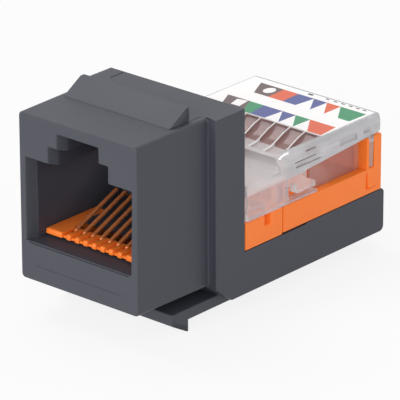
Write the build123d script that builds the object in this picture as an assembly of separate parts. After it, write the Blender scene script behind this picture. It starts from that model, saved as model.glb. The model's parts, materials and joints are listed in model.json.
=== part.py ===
from build123d import *
import os

# Keystone jack: a modular socket that snaps into a panel, with a rear block where eight wires are
# pressed on blades.
# Millimetres. Modelled with X across, Y back from the front face and Z up from the underside of the nose,
# then moved so that the origin is the bottom centre of the whole part's box.

# Nose, the part that passes through the panel
nose_width = 14.16
nose_height = 16.05
nose_length = 9.18
nose_draft = 0.10
nose_corner = 0.4

# Shoulder section and rear tray
body_width = 16.08
shoulder_length = 3.93
part_length = 32.85
tray_wall = 1.0
tray_floor = 1.02
tray_depth = 1.72
tray_rim = 2.42
rim_step = 0.10
rim_step_from_end = 11.25
tray_end_radius = 0.55
board_rail_height = 0.6
throat_slant = 2.15

# Socket
socket_width = 11.9
socket_floor = 3.86
socket_height = 7.55
socket_rear_wall = 0.91
keyway_width = 6.4
keyway_height = 1.62
clip_way_width = 4.2
clip_way_height = 1.45
lead_in = 0.38
lead_in_depth = 1.1
sill_depth = 1.15
parting_line_height = 1.58
parting_line_width = 10.3
parting_line_size = 0.08

# Wedge on top of the nose, placed from the shoulder
wedge_width = 12.5
wedge_height = 1.35
wedge_ramp = 2.25
wedge_flat = 0.4
wedge_to_shoulder = 1.43
relief_offset = 6.2
relief_size = 0.12

# Latch arm below the nose, placed from the shoulder
arm_thickness = 1.08
arm_gap = 1.17
arm_root_reach = 0.49
hook_length = 2.1
hook_depth = 1.1
hook_to_shoulder = 2.68

# Contacts
contact_count = 8
contact_pitch = 1.016
contact_width = 0.36
contact_thickness = 0.26
contact_inset = 0.35
contact_bend_radius = 0.36
contact_bend_height = 1.0
contact_bend_lean = 0.15
contact_reach = 6.0
contact_rise = 2.85
tail_setback = 1.39
tail_stagger = 1.7
tail_length = 0.3

# Orange comb and front block
comb_side_gap = 0.2
comb_setback = 0.75
comb_rise = 0.69
comb_drop = 1.26
comb_nose_height = 0.5
comb_nose_radius = 0.24
comb_nose_slope = 1.3
comb_tooth_length = 1.95
comb_rear_bar = 2.5
comb_floor = 0.38
comb_slot_gap = 0.07
rim_height = 5.06
carrier_length = 5.21
carrier_rib_length = 0.85
carrier_rib_rise = 2.35
carrier_step_rise = 0.8
side_slot_length = 0.83
side_slot_height = 1.06
side_slot_depth = 0.9
side_slot_to_seam = 1.68

# Rear block, its tower and its blades
block_setback = 0.47
block_wall = 0.95
block_floor = 3.1
tower_setback = 0.88
tower_length = 3.8
tower_height = 7.25
lane_width = 0.95
lane_margin = 0.305
lane_bottom = 4.7
blade_width = 1.36
blade_thickness = 0.32
blade_slot = 0.26
blade_below_tower = 0.35
blade_corner = 0.15
blade_corner_drop = 0.3
blade_mouth = 0.25
blade_mouth_depth = 0.4
blade_neck = 0.5
blade_setback = 1.1
blade_stagger = 1.6
post_below_rail = 0.26
post_width = 1.65
post_length = 2.08
post_edge = 0.2
cable_notch_radius = 3.4
cable_notch_low = 4.6
guide_length = 0.72
guide_from_end = 1.04
guide_depth = 0.95
lug_length = 1.25
lug_height = 1.45
lug_below_rim = 0.35
lug_rise = 0.2
lug_from_end = 0.78

# Circuit board
board_thickness = 1.2

# Clear cap
cap_top = 9.85
cap_setback = 0.3
cap_overhang = 0.33
cap_wall = 0.9
cap_roof = 0.65
fan_ceiling_drop = 0.25
label_roof = 0.8
deck_drop = 1.25
bar_ahead_of_seam = 0.42
bar_length = 0.7
fan_length = 6.0
cap_bevel = 0.65
cap_end_radius = 0.9
rail_depth_front = 2.17
rail_depth_end = 1.49
rail_end_slant = 0.5
rail_end_height = 0.4
window_setback = 2.43
foot_length = 2.7
foot_ahead_of_window = 1.38
foot_lift = 0.67
foot_height = 0.52
strip_height = 0.22
strip_past_foot = 0.3
skirt_step_length = 1.1
skirt_step_height = 1.64
channel_front_drop = 1.45
channel_middle_drop = 1.4
channel_rear_drop = 0.25
channel_wall = 0.3
rib_end_drop = 1.38
rib_foot_drop = 1.1
rib_foot_from_label = 2.6
rib_crest_drop = 0.3
rib_crest_from_label = 0.9
presser_width = 0.6
presser_length = 0.45
presser_inset = 0.25
presser_reach = 0.25
skirt_rib_setback = 1.15
skirt_rib_length = 0.5
skirt_rib_depth = 0.3
skirt_rib_lift = 0.2
skirt_foot_length = 2.95
skirt_foot_depth = 0.45
skirt_foot_height = 0.7
leg_setback = 0.1

# Fine lines on each side rail: start and end from the window's front edge, and depth below the cap's top
grip_lines = ((-0.03, 1.37, 0.43), (-1.68, 1.37, 1.10), (-1.53, 2.07, 1.60))
grip_size = 0.14

# Shallow pockets in each side rail: start and end ahead of the cap's rear, lower and upper drop from its top
rail_pockets = ((6.41, 3.91, 1.30, 0.75), (3.01, 1.91, 1.10, 0.75))
rail_pocket_depth = 0.3

# Printed label
label_width = 14.4
label_margin = 0.41
label_thickness = 0.1
label_recess = 0.05

# Clearances, and how far a cut runs past the face that it opens
fit_gap = 0.05
slide_gap = 0.1
past = 1.0

# Worked out across and from the bottom up
half_nose = nose_width / 2
half_body = body_width / 2
half_socket = socket_width / 2
half_comb = half_socket - comb_side_gap
half_tray_inside = half_body - tray_wall
half_insert = half_tray_inside - slide_gap
half_cap_inside = half_body - cap_wall
half_tower = half_cap_inside - 2 * slide_gap
skirt_rib_inside = half_cap_inside - skirt_rib_depth
last_lane = half_tower - lane_margin - lane_width / 2
lane_pitch = 2 * last_lane / (contact_count - 1)
half_channel = last_lane + blade_neck / 2 + slide_gap
arm_top = -arm_gap
arm_bottom = arm_top - arm_thickness
hook_tip = arm_bottom - hook_depth
tray_bottom = -tray_depth
tray_inside = tray_bottom + tray_floor
board_bottom = tray_inside + board_rail_height
board_top = board_bottom + board_thickness
rim_top = tray_rim + rim_step
socket_top = socket_floor + socket_height
keyway_top = socket_top + keyway_height
clip_way_top = keyway_top + clip_way_height
wedge_top = nose_height + wedge_height
comb_top = socket_floor + comb_rise
comb_bottom = socket_floor - comb_drop
slot_floor = comb_bottom + comb_floor
contact_slot = contact_width + 2 * comb_slot_gap
contact_run_height = slot_floor + contact_thickness / 2 + fit_gap
contact_bend_top = contact_run_height + contact_bend_height
carrier_rib_top = rim_height + carrier_rib_rise
carrier_step_top = rim_height + carrier_step_rise
cap_low = rim_height + fit_gap
cap_deck = cap_top - deck_drop
rail_low_front = cap_top - rail_depth_front
rail_low_end = cap_top - rail_depth_end
post_height = rail_low_end - post_below_rail
foot_low = cap_low + foot_lift
foot_high = foot_low + foot_height
channel_front_height = cap_top - channel_front_drop
channel_middle_height = cap_top - channel_middle_drop
channel_rear_height = cap_top - channel_rear_drop
fan_ceiling = channel_front_height - cap_roof - fan_ceiling_drop
blade_top = tower_height - blade_below_tower

# Worked out from the front face to the rear
shoulder = nose_length
wall_rear = nose_length + shoulder_length
socket_end = wall_rear - socket_rear_wall
wedge_end = shoulder - wedge_to_shoulder
wedge_top_start = wedge_end - wedge_flat
wedge_start = wedge_top_start - wedge_ramp
hook_rear = shoulder - hook_to_shoulder
arm_front = hook_rear - hook_length
arm_root = wall_rear + arm_root_reach
comb_front = sill_depth + comb_setback
contact_bend = comb_front + contact_inset
contact_nose = contact_bend - contact_bend_lean
contact_end = contact_nose + contact_reach
insert_front = wall_rear + fit_gap
seam = wall_rear + carrier_length
carrier_rear = seam - fit_gap
cap_front = wall_rear + cap_setback
skirt_foot_end = cap_front + skirt_foot_length
carrier_rib_front = seam - carrier_rib_length
carrier_step_front = skirt_foot_end + slide_gap
side_slot_rear = seam - side_slot_to_seam
side_slot_front = side_slot_rear - side_slot_length
tray_rear_inside = part_length - tray_wall
block_end = part_length - block_setback
tower_front = seam + tower_setback
tower_rear = tower_front + tower_length
skirt_rib_front = seam + skirt_rib_setback
cap_rear = block_end + cap_overhang
guide_rear = block_end - guide_from_end
bar_front = seam - bar_ahead_of_seam
fan_front = bar_front + bar_length
window_front = tower_front + window_setback
foot_front = window_front - foot_ahead_of_window
foot_end = foot_front + foot_length
skirt_step = foot_front - skirt_step_length
label_front = fan_front + fan_length
label_rear = cap_rear - label_margin
origin_shift = Pos(0, -part_length / 2, -hook_tip)


def across(low, high):
    """Solid bar limits as a centre and a size."""
    return (low + high) / 2, high - low


def block(x, y, z):
    """Box from three pairs of limits."""
    centre_x, size_x = across(*x)
    centre_y, size_y = across(*y)
    centre_z, size_z = across(*z)
    return Pos(centre_x, centre_y, centre_z) * Box(size_x, size_y, size_z)


def side_face(points):
    """Face in the Y-Z plane from its corners."""
    return make_face(Plane.YZ * Polyline(*points, close=True))


def spread(face, half_width):
    """Side profile made into a solid, equal to both sides of the middle."""
    return extrude(face, amount=half_width, both=True)


def between(face, low, high):
    """Side profile made into a solid between two X limits."""
    return Pos(low, 0, 0) * extrude(face, amount=high - low, dir=(1, 0, 0))


def mirrored(solid):
    """The solid and its mirror image on the other side of the middle."""
    return solid + mirror(solid, about=Plane.YZ)


def front_plane(y):
    """Drawing plane across the part at depth y, seen from the front."""
    return Plane(origin=(0, y, 0), x_dir=(1, 0, 0), z_dir=(0, -1, 0))


def lane_centres():
    return [lane_pitch * (k - (contact_count - 1) / 2) for k in range(contact_count)]


def contact_centres():
    return [contact_pitch * (k - (contact_count - 1) / 2) for k in range(contact_count)]


def tail_depth(k):
    return wall_rear + tail_setback + tail_stagger * (k % 2)


def blade_depth(k):
    return tower_front + blade_setback + blade_stagger * (k % 2)


def socket_outline(y, grow):
    """Outline of the socket and of its stepped keyway, drawn at depth y."""
    points = [
        (-half_socket - grow, socket_floor),
        (-half_socket - grow, socket_top + grow),
        (-keyway_width / 2 - grow, socket_top + grow),
        (-keyway_width / 2 - grow, keyway_top + grow),
        (-clip_way_width / 2 - grow, keyway_top + grow),
        (-clip_way_width / 2 - grow, clip_way_top + grow),
    ]
    points += [(-x, z) for x, z in reversed(points)]
    return make_face(front_plane(y) * Polyline(*points, close=True))


def make_nose():
    front = front_plane(0) * Pos(0, nose_height / 2) * RectangleRounded(
        nose_width - 2 * nose_draft, nose_height - 2 * nose_draft, nose_corner)
    back = front_plane(shoulder) * Pos(0, nose_height / 2) * RectangleRounded(
        nose_width, nose_height, nose_corner)
    return loft([front, back], ruled=True)


def make_shoulder_and_tray():
    profile = side_face([
        (shoulder, nose_height),
        (wall_rear, nose_height),
        (wall_rear, tray_rim),
        (part_length - rim_step_from_end, tray_rim),
        (part_length - rim_step_from_end, rim_top),
        (part_length, rim_top),
        (part_length, tray_bottom),
        (shoulder + throat_slant, tray_bottom),
        (shoulder, 0),
    ])
    body = spread(profile, half_body)
    rear_edges = body.edges().filter_by(Axis.X).group_by(Axis.Y)[-1]
    body = fillet(rear_edges.sort_by(Axis.Z)[0], tray_end_radius)
    rim_edges = body.edges().filter_by(Axis.X).filter_by_position(Axis.Z, tray_rim, rim_top)
    return fillet(rim_edges.sort_by(Axis.Y)[-1], nose_corner)


def make_wedge():
    """Snap wedge on top of the nose: a ramp, a short flat and a square back."""
    return spread(side_face([
        (wedge_start, nose_height - nose_draft),
        (wedge_start, nose_height),
        (wedge_top_start, wedge_top),
        (wedge_end, wedge_top),
        (wedge_end, nose_height - nose_draft),
    ]), wedge_width / 2)


def make_latch_arm():
    """Springy arm under the nose, joined to the tray at its root, with the hook near its free end."""
    return spread(side_face([
        (arm_front, arm_top),
        (arm_root, arm_top),
        (arm_root, arm_bottom + arm_thickness / 2),
        (arm_root - arm_thickness / 2, arm_bottom),
        (hook_rear, arm_bottom),
        (hook_rear, hook_tip),
        (hook_rear - relief_size, hook_tip),
        (arm_front, arm_bottom),
    ]), half_nose)


def make_housing():
    solid = make_nose() + make_shoulder_and_tray() + make_wedge() + make_latch_arm()
    # socket with its bevelled mouth
    solid -= extrude(socket_outline(0, 0), amount=socket_end, dir=(0, 1, 0))
    solid -= loft([socket_outline(0, lead_in), socket_outline(lead_in_depth, 0)], ruled=True)
    # pocket for the comb, from behind the sill through the rear wall
    half_pocket = half_comb + slide_gap
    solid -= block((-half_pocket, half_pocket), (sill_depth, socket_end),
                   (comb_bottom - slide_gap, socket_floor + slide_gap))
    solid -= block((-half_pocket, half_pocket), (socket_end - slide_gap, wall_rear + slide_gap),
                   (comb_bottom - slide_gap, comb_top + slide_gap))
    # tray: a channel under the board and a wider pocket from the board up
    solid -= block((-half_channel, half_channel), (wall_rear, tray_rear_inside),
                   (tray_inside, rim_top + past))
    solid -= block((-half_tray_inside, half_tray_inside), (wall_rear, tray_rear_inside),
                   (board_bottom, rim_top + past))
    # moulded lines: across the band below the socket and beside the wedge
    solid -= block((-parting_line_width / 2, parting_line_width / 2), (-past, parting_line_size),
                   (parting_line_height, parting_line_height + parting_line_size))
    relief_bottom = nose_height - relief_size
    solid -= block((relief_offset, relief_offset + relief_size), (wedge_end + relief_size, shoulder),
                   (relief_bottom, wedge_top))
    solid -= block((-relief_offset - relief_size, -relief_offset),
                   (wall_rear - shoulder_length / 2, wall_rear - relief_size), (relief_bottom, wedge_top))
    return solid


def make_contact_carrier():
    plate = side_face([
        (comb_front, comb_top - comb_nose_height), (comb_front, comb_top),
        (insert_front, comb_top), (insert_front, comb_bottom),
        (comb_front + comb_nose_slope, comb_bottom),
    ])
    comb = spread(plate, half_comb)
    comb = fillet(comb.edges().filter_by(Axis.X).group_by(Axis.Y)[0], comb_nose_radius)
    half_window = contact_count * contact_pitch / 2
    comb -= block((-half_window, half_window), (comb_front + comb_tooth_length, insert_front - comb_rear_bar),
                  (comb_bottom - past, comb_top + past))
    core = spread(side_face([
        (insert_front, board_top), (insert_front, rim_height),
        (carrier_step_front, rim_height), (carrier_step_front, carrier_step_top),
        (carrier_rib_front, carrier_step_top), (carrier_rib_front, carrier_rib_top),
        (carrier_rear, carrier_rib_top), (carrier_rear, board_top),
    ]), half_insert)
    lip = block((-half_body, half_body), (insert_front, carrier_rear), (tray_rim + fit_gap, rim_height))
    solid = comb + core + lip
    # slots for the contacts, open on top in the socket and below in the tray
    for k, x in enumerate(contact_centres()):
        half_slot = contact_slot / 2
        tail_way = tail_depth(k) + contact_thickness / 2 + comb_slot_gap
        solid -= block((x - half_slot, x + half_slot), (comb_front - past, insert_front),
                       (slot_floor, comb_top + past))
        solid -= block((x - half_slot, x + half_slot), (insert_front, tail_way),
                       (board_top - past, contact_run_height + contact_thickness))
    # small window in each side
    side_slot = block((half_body - side_slot_depth, half_body + past), (side_slot_front, side_slot_rear),
                      (rim_height - side_slot_height, rim_height + past))
    return solid - mirrored(side_slot)


def make_contact(k):
    """Spring contact k: soldered tail, run below the comb, bend round its nose and free end in the socket."""
    line = FilletPolyline(
        (tail_depth(k), board_bottom - tail_length),
        (tail_depth(k), contact_run_height),
        (contact_bend, contact_run_height),
        (contact_nose, contact_bend_top),
        (contact_end, contact_bend_top + contact_rise),
        radius=contact_bend_radius)
    half = contact_thickness / 2
    strip = make_face(offset(Plane.YZ * line, amount=half))
    low = contact_centres()[k] - contact_width / 2
    return between(strip, low, low + contact_width)


def make_idc_block():
    block_front = seam + fit_gap
    inside_rear = block_end - block_wall
    floor_top = board_top + block_floor
    wall_low = rim_top + fit_gap
    # floor slab inside the tray and the walls that stand on the tray's rim
    solid = block((-half_insert, half_insert), (block_front, tray_rear_inside - slide_gap),
                  (board_top, floor_top))
    solid += block((-half_body, half_body), (block_front, block_end), (wall_low, rim_height))
    solid -= block((-half_cap_inside, half_cap_inside), (tower_rear, inside_rear),
                   (floor_top, rim_height + past))
    # tower with a lane for each wire
    solid += block((-half_tower, half_tower), (tower_front, tower_rear), (floor_top, tower_height))
    for x in lane_centres():
        half_lane = lane_width / 2
        lane_axis = lane_bottom + half_lane
        lane = block((x - half_lane, x + half_lane), (tower_front - past, tower_rear + past),
                     (lane_axis, tower_height + past))
        bottom = Rot(90, 0, 0) * Cylinder(half_lane, tower_length + 2 * past)
        lane += Pos(x, (tower_front + tower_rear) / 2, lane_axis) * bottom
        solid -= lane
    # groove in each side of the tower for the rib inside the cap
    solid -= mirrored(block((skirt_rib_inside - slide_gap, half_tower + past),
                            (skirt_rib_front - slide_gap, skirt_rib_front + skirt_rib_length + slide_gap),
                            (rim_height, tower_height + past)))
    for k, x in enumerate(lane_centres()):
        half_pocket = blade_width / 2 + fit_gap
        half_deep = blade_thickness / 2 + fit_gap
        solid -= block((x - half_pocket, x + half_pocket),
                       (blade_depth(k) - half_deep, blade_depth(k) + half_deep),
                       (board_top - past, tower_height + past))
    # rear wall with a round notch for the cable, and a corner post on each side that guides the cap's leg
    rear_wall = block((-half_body, half_body), (inside_rear, block_end), (floor_top, post_height))
    rear_wall += mirrored(block((half_body - post_width, half_body), (block_end - post_length, block_end),
                                (floor_top, post_height)))
    rear_wall = fillet(rear_wall.edges().filter_by(Axis.Y).group_by(Axis.Z)[-1], post_edge)
    notch = Rot(90, 0, 0) * Cylinder(cable_notch_radius, 2 * block_wall + past)
    rear_wall -= Pos(0, block_end - block_wall / 2, cable_notch_low + cable_notch_radius) * notch
    rear_wall -= mirrored(block((half_body - guide_depth, half_body + past),
                                (guide_rear - guide_length, guide_rear),
                                (rim_height, post_height + past)))
    solid += rear_wall
    # sloping catch below each guide
    lug_rear = block_end - lug_from_end
    lug_top = rim_height - lug_below_rim
    lug_bottom = lug_top - lug_height
    lug_face = make_face(front_plane(lug_rear - lug_length) * Polyline(
        (half_body - lug_rise, lug_top), (half_body, lug_top),
        (half_body + lug_rise, lug_bottom), (half_body - lug_rise, lug_bottom), close=True))
    return solid + mirrored(extrude(lug_face, amount=lug_length, dir=(0, 1, 0)))


def make_blade(k):
    """Slotted blade k, standing across its wire lane, with a narrow neck through the board."""
    x = lane_centres()[k]
    half = blade_width / 2
    slot = blade_slot / 2
    right = [
        (blade_neck / 2, board_bottom - tail_length),
        (blade_neck / 2, board_top + fit_gap),
        (half, board_top + fit_gap),
        (half, blade_top - blade_corner_drop),
        (half - blade_corner, blade_top),
        (slot + blade_mouth, blade_top),
        (slot, blade_top - blade_mouth_depth),
        (slot, lane_bottom),
    ]
    points = right + [(-a, b) for a, b in reversed(right)]
    drawing = front_plane(blade_depth(k) - blade_thickness / 2) * Pos(x, 0)
    plate = make_face(drawing * Polyline(*points, close=True))
    return extrude(plate, amount=blade_thickness, dir=(0, 1, 0))


def make_circuit_board():
    front = insert_front + slide_gap
    rear = tray_rear_inside - slide_gap
    board = block((-half_insert, half_insert), (front, rear), (board_bottom, board_top))
    through = 2 * (board_thickness + past)
    for k, x in enumerate(contact_centres()):
        hole_radius = contact_width / 2 + slide_gap + fit_gap
        board -= Pos(x, tail_depth(k), board_bottom) * Cylinder(hole_radius, through)
    for k, x in enumerate(lane_centres()):
        board -= Pos(x, blade_depth(k), board_bottom) * Box(
            blade_neck + 2 * slide_gap, blade_thickness + 2 * slide_gap, through)
    return board


def make_cap_shell():
    """Outside of the cap, hollow below, with its windows and its foot on each side."""
    outside = side_face([
        (cap_front, cap_low),
        (cap_front, cap_deck),
        (bar_front, cap_deck),
        (bar_front, cap_top),
        (cap_rear, cap_top),
        (cap_rear, rail_low_end + rail_end_height),
        (cap_rear - rail_end_slant, rail_low_end),
        (window_front, rail_low_front),
        (window_front, foot_high + cap_roof),
        (foot_end, foot_high),
        (foot_end, foot_low),
        (foot_front, foot_low),
        (foot_front, cap_low + skirt_step_height),
        (skirt_step, cap_low + skirt_step_height),
        (skirt_step, cap_low + strip_height),
        (foot_end + strip_past_foot, cap_low + strip_height),
        (foot_end + strip_past_foot, cap_low),
    ])
    shell = spread(outside, half_body)
    top_edges = shell.edges().filter_by(Axis.Y).group_by(Axis.Z)[-1]
    shell = chamfer(top_edges, cap_bevel)
    rear_edges = shell.edges().filter_by(Axis.Z).group_by(Axis.Y)[-1]
    shell = fillet(rear_edges, cap_end_radius)
    inside = side_face([
        (cap_front + cap_roof, cap_low - past),
        (cap_front + cap_roof, cap_deck - cap_roof),
        (fan_front, cap_deck - cap_roof),
        (fan_front + cap_roof, fan_ceiling),
        (label_front - cap_roof, fan_ceiling),
        (label_front - cap_roof, cap_top - label_roof),
        (cap_rear - cap_wall, cap_top - label_roof),
        (cap_rear - cap_wall, cap_low - past),
    ])
    return shell - spread(inside, half_cap_inside)


def make_fan(shell):
    """Wire channels between the front bar and the label, with a thin rib between each pair."""
    crest = side_face([
        (fan_front, cap_top + past),
        (fan_front, cap_top - rib_end_drop),
        (label_front - rib_foot_from_label, cap_top - rib_foot_drop),
        (label_front - rib_crest_from_label, cap_top - rib_crest_drop),
        (label_front, cap_top - label_recess),
        (label_front, cap_top + past),
    ])
    shell -= spread(crest, half_cap_inside - channel_wall / 2)
    scoop = Plane.YZ * ThreePointArc(
        (fan_front, channel_front_height),
        ((fan_front + label_front) / 2, channel_middle_height),
        (label_front, channel_rear_height))
    lid = Plane.YZ * Polyline(
        (label_front, channel_rear_height), (label_front, cap_top + past),
        (fan_front, cap_top + past), (fan_front, channel_front_height))
    channel = make_face([scoop, lid])
    for x in lane_centres():
        half_scoop = (lane_pitch - channel_wall) / 2
        shell -= between(channel, x - half_scoop, x + half_scoop)
    return shell


def make_termination_cap():
    cap = make_fan(make_cap_shell())
    # seat for the label
    cap -= block((-label_width / 2 - fit_gap, label_width / 2 + fit_gap),
                 (label_front, label_rear + fit_gap), (cap_top - label_recess, cap_top + past))
    # upright rib inside each side, and a thicker foot at the front of each side
    cap += mirrored(block((skirt_rib_inside, half_cap_inside + fit_gap),
                          (skirt_rib_front, skirt_rib_front + skirt_rib_length),
                          (cap_low + skirt_rib_lift, cap_deck - cap_roof + fit_gap)))
    cap += mirrored(block((half_cap_inside - skirt_foot_depth, half_cap_inside + fit_gap),
                          (cap_front, skirt_foot_end),
                          (cap_low, cap_low + skirt_foot_height)))
    # leg down each guide of the wire block's corner posts
    cap += mirrored(block((half_body - guide_depth + slide_gap, half_body - leg_setback),
                          (guide_rear - guide_length + fit_gap, guide_rear - fit_gap),
                          (rim_height + fit_gap, rail_low_end + fit_gap)))
    # bars that push the wires down into the lanes at the tower's rear
    presser_rear = tower_rear - presser_inset
    for x in lane_centres():
        half_bar = presser_width / 2
        cap += block((x - half_bar, x + half_bar), (presser_rear - presser_length, presser_rear),
                     (tower_height - presser_reach, channel_middle_height))
    # fine lines and shallow pockets on each side rail
    for start, end, drop in grip_lines:
        line_low = cap_top - drop
        cap -= mirrored(block((half_body - grip_size, half_body + past),
                              (window_front + start, window_front + end), (line_low, line_low + grip_size)))
    for start, end, low_drop, high_drop in rail_pockets:
        cap -= mirrored(block((half_body - rail_pocket_depth, half_body + past),
                              (cap_rear - start, cap_rear - end), (cap_top - low_drop, cap_top - high_drop)))
    return cap


def make_wiring_label():
    low = cap_top - label_recess
    return block((-label_width / 2, label_width / 2), (label_front, label_rear),
                 (low, low + label_thickness))


def write(name, solid):
    solid = origin_shift * solid
    solid.label = name
    export_step(solid, os.path.join("parts", name + ".step"))


os.makedirs("parts", exist_ok=True)
write("housing", make_housing())
write("contact_carrier", make_contact_carrier())
write("idc_block", make_idc_block())
write("circuit_board", make_circuit_board())
for number in range(contact_count):
    write("contact_" + str(number + 1), make_contact(number))
    write("idc_blade_" + str(number + 1), make_blade(number))
write("termination_cap", make_termination_cap())
write("wiring_label", make_wiring_label())
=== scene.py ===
"""Keystone jack: finishes, edge rounding, printed label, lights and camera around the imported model."""
import json
import math

import bmesh
import bpy
from mathutils import Matrix, Vector


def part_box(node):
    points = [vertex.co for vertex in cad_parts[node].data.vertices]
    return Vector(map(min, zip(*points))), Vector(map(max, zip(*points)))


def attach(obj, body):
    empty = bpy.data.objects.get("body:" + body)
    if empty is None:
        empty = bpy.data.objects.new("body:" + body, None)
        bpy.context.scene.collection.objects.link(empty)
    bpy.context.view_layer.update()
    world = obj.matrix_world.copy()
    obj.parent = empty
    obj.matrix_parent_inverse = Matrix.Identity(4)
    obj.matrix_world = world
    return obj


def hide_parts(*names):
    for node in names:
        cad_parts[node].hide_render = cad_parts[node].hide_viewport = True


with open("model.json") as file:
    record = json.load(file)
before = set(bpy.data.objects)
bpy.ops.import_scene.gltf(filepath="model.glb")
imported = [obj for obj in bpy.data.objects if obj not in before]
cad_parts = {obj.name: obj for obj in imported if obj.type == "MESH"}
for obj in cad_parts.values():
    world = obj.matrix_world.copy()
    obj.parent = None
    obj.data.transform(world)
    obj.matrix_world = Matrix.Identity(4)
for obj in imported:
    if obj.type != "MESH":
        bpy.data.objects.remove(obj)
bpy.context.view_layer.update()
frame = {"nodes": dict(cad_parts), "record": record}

MM = 0.001

# Where the face frame's origin (front face, underside of the nose) lies in the model's frame
FACE_ORIGIN = Vector((0, -16.425, 3.35)) * MM

# Camera, from a perspective fit of the photographed edges
IMAGE_SIDE = 400
FOCAL_PIXELS = 4056.1
SENSOR_MM = 36.0
CAMERA_AZIMUTH = math.radians(41.25)
CAMERA_ELEVATION = math.radians(22.35)
CAMERA_ROLL = math.radians(-0.17)
CAMERA_DISTANCE = 361.4 * MM
CAMERA_TARGET = Vector((3.669, -4.425, 9.939)) * MM
CLIP_NEAR, CLIP_FAR = 0.01, 10

# Light levels, where 1 renders a colour as it is written. Each lamp has a direction, a level and a size.
ROOM_LEVEL = 0.55
FLOOR_WHITE = 0.85
LAMP_DISTANCE = 0.45
LAMPS = {
    "top_lamp": (Vector((-0.50, 0.05, 0.86)), 0.33, 0.25),
    "front_lamp": (Vector((-0.15, -0.95, 0.25)), 0.60, 0.30),
    "fill_lamp": (Vector((0.61, -0.70, 0.38)), 0.26, 0.20),
    "side_lamp": (Vector((0.95, -0.10, 0.25)), 0.10, 0.30),
    "rear_lamp": (Vector((-0.25, 0.70, 0.67)), 0.05, 0.05),
}

# Floor: half its width in metres, its height just below the part, and its two tones
FLOOR_REACH = 1.2
FLOOR_HEIGHT = -0.02 * MM
FLOOR_TONES = ((0.76, 0.76, 0.77), (0.78, 0.78, 0.79))

# Rounding of the moulded and stamped edges, by material slot
EDGE_WIDTHS = {
    "charcoal_plastic": 0.12 * MM,
    "orange_plastic": 0.10 * MM,
    "clear_plastic": 0.10 * MM,
    "gold_contact": 0.07 * MM,
}
EDGE_SEGMENTS = 2
MERGE_DISTANCE = 0.0005 * MM
FLAT_ANGLE = math.radians(0.1)
SMOOTH_ANGLE = math.radians(55)
# A real edge is sharp, or slight and long
SHARP_ANGLE = math.radians(28)
SLIGHT_ANGLE = math.radians(14)
LONG_EDGE = 1.0 * MM
# Edges that meet at a wider angle than this run on without a corner
STRAIGHT_ANGLE = math.radians(154)
# Share of the room at a corner that a rounding takes, and share of its width below which it is left out
FREE_SHARE = 0.42
LEAST_ROUNDING = 0.4

# Shapes of the pieces, down to the shader helpers. Their places and sizes are in the face frame, in
# millimetres, and the contacts' shifts are in metres.

# Upper side of the cap's rails, on either side: its grooves, its pockets and its edge lie too near each
# other to be rounded
LEFT_SHARP = {"termination_cap": ((7.70, 8.10), (17.80, 31.85), (8.20, 9.25))}

# Fine shapes: the groove under the front edge of the sill, the open space below the comb's teeth, and the
# narrow grooves ahead of and below the catch on each corner post
LUG_SIDE, LUG_OUT = 7.84, 8.6
LUG_FRONT, LUG_REAR, LUG_LOW, LUG_HIGH = 30.35, 31.60, 3.26, 4.71
GROOVE = 0.15
FINE_CUTS = {
    "housing": [((-5.95, 5.95), (-0.1, 0.16), (3.63, 3.78))],
    "contact_carrier": [((-6.2, 6.2), (1.5, 5.60), (2.4, 4.05))],
    "idc_block": [cut for side in ((LUG_SIDE, LUG_OUT), (-LUG_OUT, -LUG_SIDE)) for cut in (
        (side, (LUG_FRONT - GROOVE, LUG_FRONT), (LUG_LOW - GROOVE, LUG_HIGH)),
        (side, (LUG_FRONT, LUG_REAR), (LUG_LOW - GROOVE, LUG_LOW)))],
}

# Spring contacts: where the free end starts, where the front bend ends and its middle height, and how far
# each part moves
TIP_FROM = 7.5
BEND_UNTIL = 3.0
BEND_MIDDLE = 3.75
TIP_SHIFT = Vector((0, 0.8, -0.36)) * MM
UPPER_BEND_SHIFT = Vector((0, 1.3, 0.18)) * MM
LOWER_BEND_SHIFT = Vector((0, 1.3, 0)) * MM

# Small fills: the web between the comb's teeth, the housing's floor below them, a dark sheet under the
# contacts that paints the shade of the deep slots between them, the shelf behind it, and the clear inner
# walls of the cap behind its side windows
FILLS = (
    ("comb_web", "jack", "orange_plastic", ((-4.3, 4.3), (2.10, 3.20), (4.06, 4.30))),
    ("socket_floor", "jack", "charcoal_plastic", ((-5.85, 5.85), (1.10, 3.10), (3.00, 3.80))),
    # Painted shade: a dark charcoal sheet where the slots between the contacts lie in shadow
    ("contact_shade_sheet", "jack", "charcoal_plastic", ((-4.30, 4.30), (5.00, 8.40), (4.53, 4.58))),
    ("socket_shelf", "jack", "charcoal_plastic", ((-5.85, 5.85), (8.40, 12.20), (4.53, 4.58))),
    ("inner_wall_right", "cap", "clear_plastic", ((6.96, 7.06), (23.2, 30.2), (4.50, 8.30))),
    ("inner_wall_left", "cap", "clear_plastic", ((-7.06, -6.96), (23.2, 30.2), (4.50, 8.30))),
)

# Zones of the cap: its wire channels from front to rear, the rails' lower edge and inner side, the crests of
# the ribs between the channels, which are painted white as a highlight, and the legs at the rear
FAN_FRONT, FAN_MIDDLE, FAN_REAR = 18.75, 22.3, 24.6
RAIL_LOW = 7.6
RAIL_INSIDE = 7.05
RIB_PITCH = 1.76
RIB_REACH = 0.08
CREST_TILT = 0.2
LEG_FRONT = 30.4

# Painted shade lines in the cap's grip grooves: start and end back from the face, lower and upper height
GRIP_SHADOWS = (
    ((21.62, 22.98), (9.44, 9.52)),
    ((19.97, 22.98), (8.77, 8.85)),
    ((20.12, 23.68), (8.27, 8.35)),
)
GRIP_SIDE = (7.88, 7.93)


# Shader helpers

def new_material(name):
    """A material with one Principled shader; returns the material, its tree and the shader."""
    material = bpy.data.materials.new(name)
    material.use_nodes = True
    tree = material.node_tree
    tree.nodes.clear()
    output = tree.nodes.new("ShaderNodeOutputMaterial")
    shader = tree.nodes.new("ShaderNodeBsdfPrincipled")
    tree.links.new(shader.outputs["BSDF"], output.inputs["Surface"])
    return material, tree, shader


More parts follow.
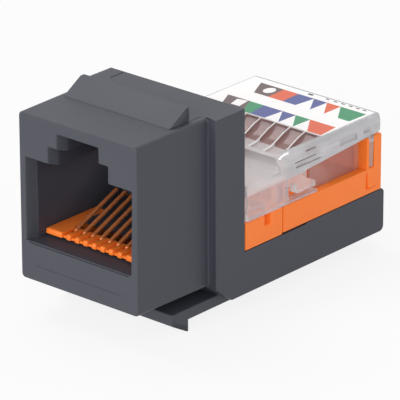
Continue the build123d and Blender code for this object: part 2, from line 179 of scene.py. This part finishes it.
def output_of(tree):
    """The surface socket of a material's output."""
    return next(n for n in tree.nodes if n.type == "OUTPUT_MATERIAL").inputs["Surface"]


def place_group(tree, group, **values):
    """Puts a shared effect into a material with its own values."""
    node = tree.nodes.new("ShaderNodeGroup")
    node.node_tree = group
    for name, value in values.items():
        node.inputs[name.replace("_", " ")].default_value = value
    return node


def math_node(tree, operation, first, second):
    """A Math node on a socket, and on a second socket or a plain number."""
    node = tree.nodes.new("ShaderNodeMath")
    node.operation = operation
    tree.links.new(first, node.inputs[0])
    if isinstance(second, float):
        node.inputs[1].default_value = second
    else:
        tree.links.new(second, node.inputs[1])
    return node.outputs[0]


def mix_shaders(tree, factor, first, second):
    """Blends two shaders by a socket."""
    node = tree.nodes.new("ShaderNodeMixShader")
    for socket, value in zip(node.inputs, (factor, first, second)):
        tree.links.new(value, socket)
    return node.outputs["Shader"]


def tone_between(tree, shader, factor, tones):
    """Base colour that wavers between two tones with a mask."""
    node = tree.nodes.new("ShaderNodeMix")
    node.data_type = "RGBA"
    tree.links.new(factor, node.inputs[0])
    for socket, tone in zip((node.inputs[6], node.inputs[7]), tones):
        socket.default_value = (*tone, 1)
    tree.links.new(node.outputs[2], shader.inputs["Base Color"])


def gloss_between(tree, shader, factor, limits):
    """Roughness that wavers between two limits with a mask."""
    node = tree.nodes.new("ShaderNodeMapRange")
    node.inputs["To Min"].default_value, node.inputs["To Max"].default_value = limits
    tree.links.new(factor, node.inputs["Value"])
    tree.links.new(node.outputs["Result"], shader.inputs["Roughness"])


def bump_into(tree, shader, height, distance):
    """Sends a height into the shader's normal; distance in metres."""
    bump = tree.nodes.new("ShaderNodeBump")
    bump.inputs["Strength"].default_value = 1.0
    bump.inputs["Distance"].default_value = distance
    tree.links.new(height, bump.inputs["Height"])
    tree.links.new(bump.outputs["Normal"], shader.inputs["Normal"])


def object_noise(tree, size, detail=2.0):
    """Noise in object space with features of about the given size in metres."""
    place = tree.nodes.new("ShaderNodeTexCoord")
    noise = tree.nodes.new("ShaderNodeTexNoise")
    noise.inputs["Scale"].default_value = 1 / size
    noise.inputs["Detail"].default_value = detail
    tree.links.new(place.outputs["Object"], noise.inputs["Vector"])
    return noise.outputs["Fac"]


# Shared effects

def moulded_surface_group():
    """Fine spark-eroded grain with slow tone drift, as on injection moulded plastic."""
    group = bpy.data.node_groups.new("moulded_surface", "ShaderNodeTree")
    inside = group.nodes.new("NodeGroupInput")
    outside = group.nodes.new("NodeGroupOutput")
    place = group.nodes.new("ShaderNodeTexCoord")
    for label, scale, default, detail in (("Height", "Grain Scale", 9000.0, 3.0),
                                          ("Drift", "Drift Scale", 260.0, 4.0)):
        socket = group.interface.new_socket(scale, in_out="INPUT", socket_type="NodeSocketFloat")
        socket.default_value = default
        group.interface.new_socket(label, in_out="OUTPUT", socket_type="NodeSocketFloat")
        noise = group.nodes.new("ShaderNodeTexNoise")
        noise.inputs["Detail"].default_value = detail
        group.links.new(place.outputs["Object"], noise.inputs["Vector"])
        group.links.new(inside.outputs[scale], noise.inputs["Scale"])
        group.links.new(noise.outputs["Fac"], outside.inputs[label])
    return group


MOULDED = moulded_surface_group()


# Finishes

def opaque_plastic(name, tones, gloss, grain_scale, grain_depth, specular):
    """Moulded opaque plastic: base colour with slow drift, fine grain and uneven gloss."""
    material, tree, shader = new_material(name)
    surface = place_group(tree, MOULDED, Grain_Scale=grain_scale)
    tone_between(tree, shader, surface.outputs["Drift"], tones)
    gloss_between(tree, shader, surface.outputs["Drift"], gloss)
    bump_into(tree, shader, surface.outputs["Height"], grain_depth)
    shader.inputs["Specular IOR Level"].default_value = specular
    return material, shader


def charcoal_plastic():
    """Satin charcoal moulding."""
    tones = ((0.041, 0.0435, 0.058), (0.050, 0.0525, 0.067))
    return opaque_plastic("charcoal_plastic", tones, (0.46, 0.60), 8000.0, 0.006 * MM, 0.40)[0]


def orange_plastic():
    """Orange moulding that lets a little light in."""
    tones = ((0.98, 0.205, 0.026), (1.0, 0.235, 0.036))
    material, shader = opaque_plastic("orange_plastic", tones, (0.34, 0.46), 5000.0, 0.003 * MM, 0.30)
    shader.inputs["Subsurface Weight"].default_value = 0.15
    shader.inputs["Subsurface Radius"].default_value = (0.6 * MM, 0.2 * MM, 0.06 * MM)
    shader.inputs["Subsurface Scale"].default_value = 1.0
    return material


# Clear plastic: its refraction, the scale and depth of its ripple, and the share of lamp light that passes
CLEAR_IOR = 1.40
CLEAR_DRIFT_SCALE = 500.0
CLEAR_RIPPLE = 0.010 * MM
LAMP_LIGHT_THROUGH = 0.9


def clear_plastic(name, tones, gloss, transmission, alpha):
    """Clear moulded plastic with a little haze; lamps shine through it."""
    material, tree, shader = new_material(name)
    drift = place_group(tree, MOULDED, Drift_Scale=CLEAR_DRIFT_SCALE).outputs["Drift"]
    tone_between(tree, shader, drift, tones)
    gloss_between(tree, shader, drift, gloss)
    bump_into(tree, shader, drift, CLEAR_RIPPLE)
    shader.inputs["Transmission Weight"].default_value = transmission
    shader.inputs["IOR"].default_value = CLEAR_IOR
    shader.inputs["Alpha"].default_value = alpha
    through = tree.nodes.new("ShaderNodeBsdfTransparent")
    path = tree.nodes.new("ShaderNodeLightPath")
    shadow = math_node(tree, "MULTIPLY", path.outputs["Is Shadow Ray"], LAMP_LIGHT_THROUGH)
    shine = mix_shaders(tree, shadow, shader.outputs["BSDF"], through.outputs["BSDF"])
    tree.links.new(shine, output_of(tree))
    return material


def gold_contact():
    """Gold-plated spring wire, drawn smooth; its gold is deepened to orange as a painted reflection of the
    orange plastic.
    """
    material, tree, shader = new_material("gold_contact")
    drag = object_noise(tree, 0.8 * MM)
    # Both tones are gold deepened to orange: a painted reflection of the orange plastic around the springs
    tone_between(tree, shader, drag, ((0.84, 0.25, 0.080), (0.94, 0.33, 0.12)))
    gloss_between(tree, shader, drag, (0.22, 0.32))
    shader.inputs["Metallic"].default_value = 0.60
    return material


def tinned_blade():
    """Tinned sheet with drag marks."""
    material, tree, shader = new_material("tinned_blade")
    drag = object_noise(tree, 0.2 * MM)
    tone_between(tree, shader, drag, ((0.62, 0.62, 0.60), (0.78, 0.77, 0.75)))
    gloss_between(tree, shader, drag, (0.28, 0.5))
    bump_into(tree, shader, drag, 0.004 * MM)
    shader.inputs["Metallic"].default_value = 1.0
    return material


def solder_mask():
    """Green solder mask over the board's weave."""
    material, tree, shader = new_material("circuit_board")
    weave = object_noise(tree, 0.5 * MM, 4.0)
    tone_between(tree, shader, weave, ((0.012, 0.10, 0.04), (0.02, 0.17, 0.07)))
    gloss_between(tree, shader, weave, (0.2, 0.4))
    bump_into(tree, shader, weave, 0.01 * MM)
    return material


# Where ink is thin it keeps this share of its colour, and this much of the white film shows
THIN_INK_SHARE = 0.94
FILM_SHOWING = 0.03


def printed_film(name, colour):
    """Ink or bare film: the tone wavers a little with the ink's thickness."""
    material, tree, shader = new_material(name)
    ink = object_noise(tree, 0.3 * MM, 5.0)
    paler = tuple(min(1.0, THIN_INK_SHARE * c + FILM_SHOWING) for c in colour)
    tone_between(tree, shader, ink, (colour, paler))
    gloss_between(tree, shader, ink, (0.34, 0.5))
    bump_into(tree, shader, ink, 0.002 * MM)
    return material


FILM_WHITE = (0.98, 0.96, 0.955)
FINISHES = {
    "charcoal_plastic": charcoal_plastic(),
    "orange_plastic": orange_plastic(),
    "circuit_board": solder_mask(),
    "gold_contact": gold_contact(),
    "tinned_blade": tinned_blade(),
    "clear_plastic": clear_plastic(
        "clear_plastic", ((0.72, 0.73, 0.75), (0.84, 0.85, 0.87)), (0.03, 0.12), 0.74, 0.90),
    "printed_label": printed_film("printed_label", FILM_WHITE),
}

# Zones of the cap, in the order of its material slots: two tones, gloss, transmission and alpha. The thick
# mouldings look hazier, and the thin channels take the tint of what lies behind them; the rear channels and
# the legs are painted in the brown of the orange in shade, and the rib crests are painted white as
# highlights.
ZONE_LOOKS = {
    "thick": (((0.58, 0.58, 0.60), (0.74, 0.74, 0.76)), (0.06, 0.20), 0.34, 1.0),
    "scoop": (((0.58, 0.53, 0.53), (0.76, 0.71, 0.71)), (0.03, 0.12), 0.12, 0.88),
    # Painted shade: the brown of the orange block in shadow, seen through the rear channels
    "shade": (((0.31, 0.18, 0.17), (0.41, 0.265, 0.25)), (0.03, 0.12), 0.22, 0.90),
    # Painted highlight: the white of the ribs' crests
    "crest": (((0.90, 0.90, 0.91), (0.97, 0.97, 0.97)), (0.03, 0.10), 0.20, 1.0),
    "bar": (((0.66, 0.62, 0.63), (0.84, 0.80, 0.80)), (0.05, 0.16), 0.38, 1.0),
    # Painted shade: the brown of the orange post in shadow, seen through the legs
    "leg": (((0.58, 0.35, 0.28), (0.68, 0.43, 0.35)), (0.05, 0.15), 0.10, 0.75),
}
ZONE_FINISHES = {"clear": FINISHES["clear_plastic"]}
ZONE_FINISHES.update({zone: clear_plastic("clear_plastic_" + zone, *look)
                      for zone, look in ZONE_LOOKS.items()})
INNER_WALL = clear_plastic(
    "clear_plastic_wall", ((0.50, 0.46, 0.47), (0.58, 0.54, 0.55)), (0.05, 0.15), 0.0, 0.16)
FILL_FINISHES = {**FINISHES, "clear_plastic": INNER_WALL}

INK_COLOURS = {
    "green": (0.020, 0.26, 0.108),
    "blue": (0.063, 0.080, 0.28),
    "orange": (0.74, 0.105, 0.030),
    "brown": (0.115, 0.070, 0.068),
    "white": FILM_WHITE,
    "black": (0.03, 0.03, 0.033),
}
INKS = {ink: printed_film("ink_" + ink, colour) for ink, colour in INK_COLOURS.items()}


# Moulded and stamped pieces with their edges rounded

def add_object(name, data):
    """A new object in the scene."""
    thing = bpy.data.objects.new(name, data)
    bpy.context.scene.collection.objects.link(thing)
    return thing


def slot_of(node):
    """The record's material slot of a node."""
    return next(p["material_slot"] for p in frame["record"]["subparts"] if p["node"] == node)


def in_face_frame(point):
    """A point of the model in the face frame, in millimetres."""
    return (point - FACE_ORIGIN) / MM


def is_moulded_edge(edge):
    """True for a real edge of the piece, false for the facets of a curve."""
    angle = edge.calc_face_angle(0)
    return angle > SHARP_ANGLE or (angle > SLIGHT_ANGLE and edge.calc_length() > LONG_EDGE)


def free_width(edge):
    """Widest rounding that the corners at both ends of this edge leave room for."""
    free = math.inf
    for vertex in edge.verts:
        along = (edge.other_vert(vertex).co - vertex.co).normalized()
        for other in vertex.link_edges:
            if other is edge or not set(other.link_faces) & set(edge.link_faces):
                continue
            reach = other.other_vert(vertex).co - vertex.co
            angle = along.angle(reach)
            if angle < STRAIGHT_ANGLE:
                free = min(free, reach.length * min(math.tan(angle / 2), math.sin(angle)))
    return FREE_SHARE * free


def left_sharp(node, edge):
    """True for an edge that lies wholly in the node's box of edges without rounding."""
    box = LEFT_SHARP.get(node)
    if not box:
        return False
    places = [in_face_frame(vertex.co) for vertex in edge.verts]
    return all(low < value < high for place in places
               for value, (low, high) in zip((abs(place.x), place.y, place.z), box))


def apply_all(piece):
    """Applies the piece's modifiers in order."""
    bpy.context.view_layer.objects.active = piece
    for modifier in list(piece.modifiers):
        bpy.ops.object.modifier_apply(modifier=modifier.name)


def box_mesh(name, spans):
    """Box from three pairs of limits in the face frame, in millimetres."""
    mesh = bmesh.new()
    bmesh.ops.create_cube(mesh, size=1)
    low, high = (Vector([span[k] for span in spans]) * MM for k in (0, 1))
    for vertex in mesh.verts:
        share = vertex.co + Vector((0.5, 0.5, 0.5))
        vertex.co = Vector([a + (b - a) * t for a, b, t in zip(low, high, share)]) + FACE_ORIGIN
    data = bpy.data.meshes.new(name)
    mesh.to_mesh(data)
    mesh.free()
    return data


def cut_boxes(piece, cuts):
    """Takes boxes out of a piece."""
    for spans in cuts:
        cutter = add_object("cutter", box_mesh("cutter", spans))
        cut = piece.modifiers.new("cut", "BOOLEAN")
        cut.object = cutter
        apply_all(piece)
        bpy.data.objects.remove(cutter)


def settle_contact(mesh):
    """Sets the spring's front bend behind the comb's teeth and its free end a little lower and longer."""
    for vertex in mesh.verts:
        place = in_face_frame(vertex.co)
        if place.y > TIP_FROM:
            vertex.co += TIP_SHIFT
        elif place.y < BEND_UNTIL:
            vertex.co += UPPER_BEND_SHIFT if place.z > BEND_MIDDLE else LOWER_BEND_SHIFT


def zone_of(face):
    """Zone of the cap that a face lies in."""
    place = in_face_frame(face.calc_center_median())
    off_rib = abs(place.x - RIB_PITCH * round(place.x / RIB_PITCH))
    if place.z < RAIL_LOW:
        return "leg" if place.y > LEG_FRONT else "clear"
    if place.y < FAN_FRONT:
        return "bar"
    if place.y > FAN_REAR or abs(place.x) > RAIL_INSIDE:
        return "thick"
    # Upward faces on a rib's crest take the white painted highlight
    if off_rib < RIB_REACH and face.normal.z > CREST_TILT:
        return "crest"
    return "scoop" if place.y < FAN_MIDDLE else "shade"


def split_zones(piece):
    """Cuts the cap's faces where its zones meet, and gives each face its zone's material slot."""
    mesh = bmesh.new()
    mesh.from_mesh(piece.data)
    back, up = Vector((0, 1, 0)), Vector((0, 0, 1))
    for normal, level in ((back, FAN_FRONT), (back, FAN_MIDDLE), (back, FAN_REAR), (up, RAIL_LOW)):
        bmesh.ops.bisect_plane(mesh, geom=mesh.verts[:] + mesh.edges[:] + mesh.faces[:],
                               plane_co=FACE_ORIGIN + normal * level * MM, plane_no=normal)
    zones = list(ZONE_FINISHES)
    for face in mesh.faces:
        face.material_index = zones.index(zone_of(face))
    mesh.to_mesh(piece.data)
    mesh.free()


def mark_roundings(node, piece, width):
    """Cleans the piece's mesh and gives each edge the share of the rounding that it has room for."""
    mesh = bmesh.new()
    mesh.from_mesh(piece.data)
    if slot_of(node) == "gold_contact":
        settle_contact(mesh)
    bmesh.ops.remove_doubles(mesh, verts=mesh.verts, dist=MERGE_DISTANCE)
    bmesh.ops.dissolve_limit(mesh, angle_limit=FLAT_ANGLE, verts=mesh.verts, edges=mesh.edges)
    share = mesh.edges.layers.float.new("bevel_weight_edge")
    for edge in mesh.edges:
        if left_sharp(node, edge) or not is_moulded_edge(edge):
            continue
        if free_width(edge) > LEAST_ROUNDING * width:
            edge[share] = min(1.0, free_width(edge) / width)
    mesh.to_mesh(piece.data)
    mesh.free()


def rounded_piece(node, body, width):
    """The node's own solid with a fine radius on its edges, which stands for the node."""
    piece = add_object(node + "_moulding", frame["nodes"][node].data.copy())
    piece.data.name = node + "_moulding"
    cut_boxes(piece, FINE_CUTS.get(node, ()))
    mark_roundings(node, piece, width)
    bevel = piece.modifiers.new("edges", "BEVEL")
    bevel.width = width
    bevel.segments = EDGE_SEGMENTS
    bevel.limit_method = "WEIGHT"
    bevel.use_clamp_overlap = False
    apply_all(piece)
    if node == "termination_cap":
        split_zones(piece)
    piece.select_set(True)
    bpy.ops.object.shade_smooth_by_angle(angle=SMOOTH_ANGLE)
    piece.select_set(False)
    flat = piece.modifiers.new("flat_faces", "WEIGHTED_NORMAL")
    flat.keep_sharp = True
    apply_all(piece)
    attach(piece, body)
    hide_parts(node)
    return piece


# Printed label, as fields of ink on the film. Across is from the label's middle,
# back is from its rear edge towards the front, both in millimetres.

ROW_REAR = (0.90, 3.28)
ROW_FRONT = (5.25, 7.62)
REAR_FIELDS = (
    ("brown", (-5.70, -2.88), (-4.55, -2.80)),
    ("orange", (-2.88, -1.14), (-2.80, -1.05)),
    ("blue", (-1.14, 0.74), (-1.05, 0.47)),
    ("blue", (0.74, 2.30), (2.21,)),
    ("orange", (2.30, 3.90), (3.87,)),
    ("green", (3.92, 6.93), (5.53, 6.85)),
)
FRONT_FIELDS = (
    ("brown", (-6.00, -3.32), (-4.85, -2.27)),
    ("green", (-3.32, -1.63), (-2.27, -1.29)),
    ("blue", (-1.63, 0.59), (-1.29, 0.40)),
    ("blue", (0.59, 2.16), (2.06,)),
    ("green", (2.16, 3.87), (3.78,)),
    ("orange", (3.88, 6.88), (5.50, 7.10)),
)
# Plain marks: a round dot and a slanted bar on the two brown fields, a block and dashes along the rear edge
DOT_MIDDLE = (-3.75, sum(ROW_REAR) / 2 - 0.1)
DOT_REACH = (0.55, 0.72)
DOT_POINTS = 20
SLANTED_BAR = ((-4.60, ROW_FRONT[0] + 0.35), (-3.50, ROW_FRONT[0] + 0.10),
               (-3.25, ROW_FRONT[1] - 0.75), (-4.25, ROW_FRONT[1] - 0.70))
MARKS_BACK = 0.16
BLOCK_ACROSS = (-0.45, 0.10)
BLOCK_DEPTH = 0.26
DASH_STARTS = (1.60, 2.55, 3.45, 4.35, 5.20, 6.00)
DASH_LENGTH = 0.40
DASH_DEPTH = 0.13
INK_HEIGHT = 0.012 * MM


def ink_fields(row, fields):
    """One row of the colour code: each field narrows or slants from its rear edge to its front edge."""
    rear, front = row
    return [(ink, [(x, rear) for x in at_rear] + [(x, front) for x in reversed(at_front)])
            for ink, at_rear, at_front in fields]


def rectangle(across, back):
    """Outline of a plain rectangle."""
    (left, right), (near, far) = across, back
    return [(left, near), (right, near), (right, far), (left, far)]


def plain_marks():
    """The plain marks on the label, each an ink and an outline."""
    across, back = DOT_MIDDLE
    turns = [math.tau * k / DOT_POINTS for k in range(DOT_POINTS)]
    dot = [(across + DOT_REACH[0] * math.cos(a), back + DOT_REACH[1] * math.sin(a)) for a in turns]
    block = rectangle(BLOCK_ACROSS, (MARKS_BACK, MARKS_BACK + BLOCK_DEPTH))
    dashes = [rectangle((start, start + DASH_LENGTH), (MARKS_BACK, MARKS_BACK + DASH_DEPTH))
              for start in DASH_STARTS]
    return [("white", dot), ("white", SLANTED_BAR)] + [("black", mark) for mark in [block] + dashes]


def build_label_print():
    """All ink fields as thin raised faces on the label's top."""
    high = Vector(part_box("wiring_label")[1])
    slots = list(INKS)
    mesh = bmesh.new()
    rows = ink_fields(ROW_REAR, REAR_FIELDS) + ink_fields(ROW_FRONT, FRONT_FIELDS)
    layers = [(field, 1) for field in rows] + [(mark, 2) for mark in plain_marks()]
    for (ink, outline), layer in layers:
        points = [(x * MM, high.y - y * MM) for x, y in outline]
        top = [mesh.verts.new((x, y, high.z + layer * INK_HEIGHT)) for x, y in points]
        base = [mesh.verts.new((x, y, high.z - INK_HEIGHT)) for x, y in points]
        faces = [mesh.faces.new(top), mesh.faces.new(base[::-1])]
        for k in range(len(points)):
            n = (k + 1) % len(points)
            faces.append(mesh.faces.new((top[n], top[k], base[k], base[n])))
        for face in faces:
            face.material_index = slots.index(ink)
    bmesh.ops.recalc_face_normals(mesh, faces=mesh.faces)
    data = bpy.data.meshes.new("label_print")
    mesh.to_mesh(data)
    mesh.free()
    for ink in slots:
        data.materials.append(INKS[ink])
    piece = add_object("label_print", data)
    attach(piece, "cap")


# Dressing the nodes

def dress(piece, slot):
    """Gives a piece the finish of its slot, and keeps which face has which material."""
    if piece.data.materials:
        piece.data.materials[0] = FINISHES[slot]
    else:
        piece.data.materials.append(FINISHES[slot])


def build_grip_shadows():
    """Dark strips of painted shade in the grip grooves of the clear side rails."""
    for across, tag in ((GRIP_SIDE, "right"), (tuple(-x for x in reversed(GRIP_SIDE)), "left")):
        for number, (along, up) in enumerate(GRIP_SHADOWS, 1):
            name = "grip_line_%s_%d" % (tag, number)
            line = add_object(name, box_mesh(name, (across, along, up)))
            # The brown ink finish paints the grooves' shade
            line.data.materials.append(INKS["brown"])
            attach(line, "cap")


def build_fills():
    """Small plain boxes inside the socket and behind the cap's windows."""
    for name, body, slot, spans in FILLS:
        fill = add_object(name, box_mesh(name, spans))
        fill.data.materials.append(FILL_FINISHES[slot])
        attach(fill, body)


BODY_OF = {node: body for body, nodes in frame["record"]["behaviour"]["bodies"].items() for node in nodes}

for node, source in frame["nodes"].items():
    dress(source, slot_of(node))
    if slot_of(node) in EDGE_WIDTHS:
        moulding = rounded_piece(node, BODY_OF[node], EDGE_WIDTHS[slot_of(node)])
        dress(moulding, slot_of(node))
        if node == "termination_cap":
            for zone in ZONE_LOOKS:
                moulding.data.materials.append(ZONE_FINISHES[zone])
build_label_print()
build_grip_shadows()
build_fills()


# Floor, lights and camera

def looked_at(tree):
    """1 for rays that show the surroundings: from the camera, in gloss and through clear plastic."""
    path = tree.nodes.new("ShaderNodeLightPath")
    seen = math_node(tree, "MAXIMUM", path.outputs["Is Camera Ray"], path.outputs["Is Glossy Ray"])
    return math_node(tree, "MAXIMUM", seen, path.outputs["Is Transmission Ray"])


def build_floor():
    """White table top, far wider than the view, on which only a faint shadow shows."""
    data = bpy.data.meshes.new("floor")
    turns = ((-1, -1), (1, -1), (1, 1), (-1, 1))
    corners = [(x * FLOOR_REACH, y * FLOOR_REACH, FLOOR_HEIGHT) for x, y in turns]
    data.from_pydata(corners, [], [(0, 1, 2, 3)])
    floor = add_object("floor", data)
    material, tree, shader = new_material("pale_floor")
    tone_between(tree, shader, object_noise(tree, 30 * MM), FLOOR_TONES)
    shader.inputs["Roughness"].default_value = 0.9
    shader.inputs["Specular IOR Level"].default_value = 0.1
    glow = tree.nodes.new("ShaderNodeEmission")
    glow.inputs["Strength"].default_value = 1.0
    share = math_node(tree, "MULTIPLY", looked_at(tree), FLOOR_WHITE)
    backdrop = mix_shaders(tree, share, shader.outputs["BSDF"], glow.outputs["Emission"])
    tree.links.new(backdrop, output_of(tree))
    data.materials.append(material)


def build_lamp(name, direction, level, size):
    """Square soft box whose power gives the level on a face turned to it."""
    data = bpy.data.lights.new(name, "AREA")
    data.size = size
    data.energy = level * math.pi ** 2 * LAMP_DISTANCE ** 2
    lamp = add_object(name, data)
    lamp.location = CAMERA_TARGET + direction.normalized() * LAMP_DISTANCE
    lamp.rotation_euler = direction.to_track_quat("Z", "Y").to_euler()


def white_background(tree, strength):
    """Plain white surroundings of a given strength."""
    background = tree.nodes.new("ShaderNodeBackground")
    background.inputs["Color"].default_value = (1, 1, 1, 1)
    background.inputs["Strength"].default_value = strength
    return background.outputs["Background"]


def build_room():
    """Even room light, seen as white in gloss and through clear plastic."""
    world = bpy.data.worlds.new("room")
    bpy.context.scene.world = world
    world.use_nodes = True
    tree = world.node_tree
    tree.nodes.clear()
    output = tree.nodes.new("ShaderNodeOutputWorld")
    lit = white_background(tree, ROOM_LEVEL)
    white = white_background(tree, 1.0)
    tree.links.new(mix_shaders(tree, looked_at(tree), lit, white), output.inputs["Surface"])


def build_camera():
    """Camera at the photograph's viewing angle, with its perspective."""
    data = bpy.data.cameras.new("camera")
    data.sensor_width = SENSOR_MM
    data.lens = FOCAL_PIXELS * SENSOR_MM / IMAGE_SIDE
    data.clip_start = CLIP_NEAR
    data.clip_end = CLIP_FAR
    back = Vector((math.sin(CAMERA_AZIMUTH) * math.cos(CAMERA_ELEVATION),
                   -math.cos(CAMERA_AZIMUTH) * math.cos(CAMERA_ELEVATION),
                   math.sin(CAMERA_ELEVATION)))
    right = Vector((math.cos(CAMERA_AZIMUTH), math.sin(CAMERA_AZIMUTH), 0))
    turn = Matrix((right, back.cross(right), back)).transposed().to_4x4()
    camera = add_object("camera", data)
    camera.matrix_world = (Matrix.Translation(CAMERA_TARGET + back * CAMERA_DISTANCE) @ turn
                           @ Matrix.Rotation(CAMERA_ROLL, 4, "Z"))
    bpy.context.scene.camera = camera


build_floor()
for name, (direction, level, size) in LAMPS.items():
    build_lamp(name, direction, level, size)
build_room()
build_camera()
bpy.context.scene.view_settings.view_transform = "Standard"
